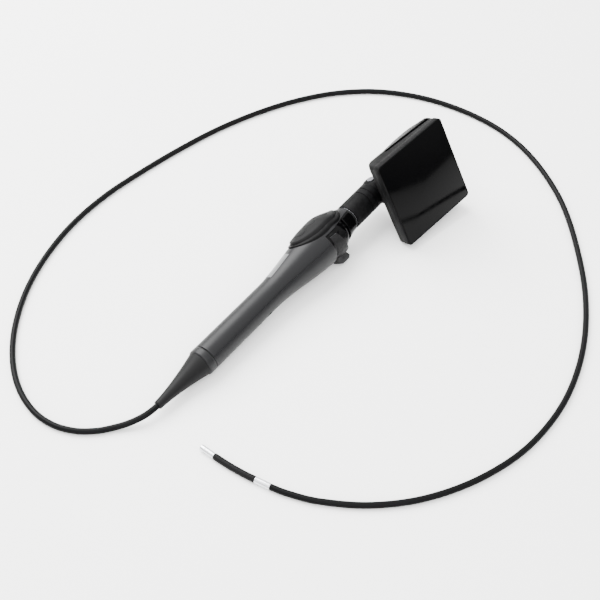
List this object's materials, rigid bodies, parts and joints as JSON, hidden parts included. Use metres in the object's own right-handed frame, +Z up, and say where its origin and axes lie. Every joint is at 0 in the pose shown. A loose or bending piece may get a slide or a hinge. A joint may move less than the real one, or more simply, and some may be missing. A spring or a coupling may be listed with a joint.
{
  "type": "articulating video borescope",
  "caption": "Handheld inspection videoscope: tapered grip with thumb lever and keypad, swivelling tilting square screen and a long flexible insertion tube with a bending camera tip.",
  "frame": {"origin": "centre of the bottom of the box around the handle and screen, as they lie on a table", "axes": "+X along the handle from the strain relief to the screen, +Y to the left seen from the strain relief, +Z up"},
  "size_m": [0.5532, 0.483, 0.0941],
  "materials": {
    "shell": "satin charcoal moulding",
    "soft": "matte black soft moulding",
    "gloss": "polished black",
    "lever": "coarse textured black",
    "barrel": "matte charcoal",
    "screen_body": "satin dark grey",
    "glass": "black printed cover glass",
    "panel": "switched-off display",
    "steel": "bright",
    "tip_metal": "fine satin",
    "brass": "machined",
    "board": "solder mask",
    "cell": "shrink-wrapped cell",
    "sheath": "smooth black sheath",
    "label": "silver-white label",
    "lens": "coated lens barrel",
    "led": "clear lens over phosphor"
  },
  "bodies": {
    "handle": {"front_shell": "shell", "rear_shell": "shell", "nose_ring": "gloss", "strain_relief": "soft", "tube_anchor": "brass", "shell_screws": "steel", "lever_guard": "gloss", "keypad_rim": "gloss", "keypad_pad": "soft", "keypad_board": "board", "main_board": "board", "battery_cell": "cell", "battery_contacts": "steel", "wire_stops": "brass", "wire_conduits": "steel", "lever_bushes": "brass", "swivel_bush": "brass", "seal_ring": "soft", "label_plate": "label", "insertion_tube": "sheath", "crimp_ring": "tip_metal", "link_1": "steel", "sleeve_1": "sheath"},
    "lever": {"bend_lever": "lever", "lever_shaft": "steel", "wire_pulley": "brass", "lever_caps": "lever"},
    "wire_front": {"pull_wire_front": "steel"},
    "wire_rear": {"pull_wire_rear": "steel"},
    "up_key": {"key_up": "soft"},
    "shutter_key": {"key_shutter": "soft"},
    "down_key": {"key_down": "soft"},
    "neck": {"neck_barrel": "barrel", "wave_washer": "steel", "retaining_ring": "steel"},
    "screen": {"hinge_bracket": "barrel", "hinge_pin": "steel", "hinge_washers": "steel", "bracket_screws": "steel", "screen_cover": "screen_body", "screen_frame": "screen_body", "cover_glass": "glass", "display_panel": "panel", "display_board": "board", "port_block": "steel", "cover_screws": "steel"},
    "bend_2": {"link_2": "steel", "sleeve_2": "sheath"},
    "bend_3": {"link_3": "steel", "sleeve_3": "sheath"},
    "bend_4": {"link_4": "steel", "sleeve_4": "sheath"},
    "bend_5": {"link_5": "steel", "sleeve_5": "sheath"},
    "bend_6": {"link_6": "steel", "sleeve_6": "sheath", "tip_housing": "tip_metal", "camera_module": "lens", "tip_leds": "led"}
  },
  "joints": [
    {"name": "lever_swing", "type": "hinge", "parent": "handle", "child": "lever", "pos_m": [0.04868, 0.022, 0.02348], "axis": [0.0389, 0.7547, -0.6549], "range_deg": [-20, 20]},
    {"name": "wire_front_pull", "type": "slide", "parent": "handle", "child": "wire_front", "axis": [0.9982, 0, 0.0593], "range_m": [-0.003, 0.003]},
    {"name": "wire_rear_pull", "type": "slide", "parent": "handle", "child": "wire_rear", "axis": [0.9982, 0, 0.0593], "range_m": [-0.003, 0.003]},
    {"name": "key_up_press", "type": "slide", "parent": "handle", "child": "up_key", "axis": [0.0448, -0.6561, -0.7534], "range_m": [0, 0.0006], "stiffness_N_per_m": 1200, "springref_m": -0.0008},
    {"name": "key_shutter_press", "type": "slide", "parent": "handle", "child": "shutter_key", "axis": [0.0448, -0.6561, -0.7534], "range_m": [0, 0.0006], "stiffness_N_per_m": 1200, "springref_m": -0.0008},
    {"name": "key_down_press", "type": "slide", "parent": "handle", "child": "down_key", "axis": [0.0448, -0.6561, -0.7534], "range_m": [0, 0.0006], "stiffness_N_per_m": 1200, "springref_m": -0.0008},
    {"name": "neck_swivel", "type": "hinge", "parent": "handle", "child": "neck", "pos_m": [0.07663, 0.022, 0.02514], "axis": [0.9982, 0, 0.0593], "range_deg": [-54, 206]},
    {"name": "screen_tilt", "type": "hinge", "parent": "neck", "child": "screen", "pos_m": [0.12056, 0.022, 0.02775], "axis": [0.0528, -0.454, -0.8894], "range_deg": [-97, 10]},
    {"name": "bend_joint_1", "type": "hinge", "parent": "handle", "child": "bend_2", "pos_m": [-0.18613, -0.08027, 0.00295], "axis": [0, 0, 1], "range_deg": [-20, 20]},
    {"name": "bend_joint_2", "type": "hinge", "parent": "bend_2", "child": "bend_3", "pos_m": [-0.18724, -0.07235, 0.00295], "axis": [0, 0, 1], "range_deg": [-20, 20]},
    {"name": "bend_joint_3", "type": "hinge", "parent": "bend_3", "child": "bend_4", "pos_m": [-0.18808, -0.0644, 0.00295], "axis": [0, 0, 1], "range_deg": [-20, 20]},
    {"name": "bend_joint_4", "type": "hinge", "parent": "bend_4", "child": "bend_5", "pos_m": [-0.18863, -0.05641, 0.00295], "axis": [0, 0, 1], "range_deg": [-20, 20]},
    {"name": "bend_joint_5", "type": "hinge", "parent": "bend_5", "child": "bend_6", "pos_m": [-0.18891, -0.04842, 0.00295], "axis": [0, 0, 1], "range_deg": [-20, 20]}
  ],
  "couplings": [
    {"joint": "wire_front_pull", "follows": "lever_swing", "m_per_rad": 0.0073},
    {"joint": "wire_rear_pull", "follows": "lever_swing", "m_per_rad": -0.0073},
    {"joint": "bend_joint_1", "follows": "lever_swing", "ratio": 0.9},
    {"joint": "bend_joint_2", "follows": "lever_swing", "ratio": 0.9},
    {"joint": "bend_joint_3", "follows": "lever_swing", "ratio": 0.9},
    {"joint": "bend_joint_4", "follows": "lever_swing", "ratio": 0.9},
    {"joint": "bend_joint_5", "follows": "lever_swing", "ratio": 0.9}
  ]
}
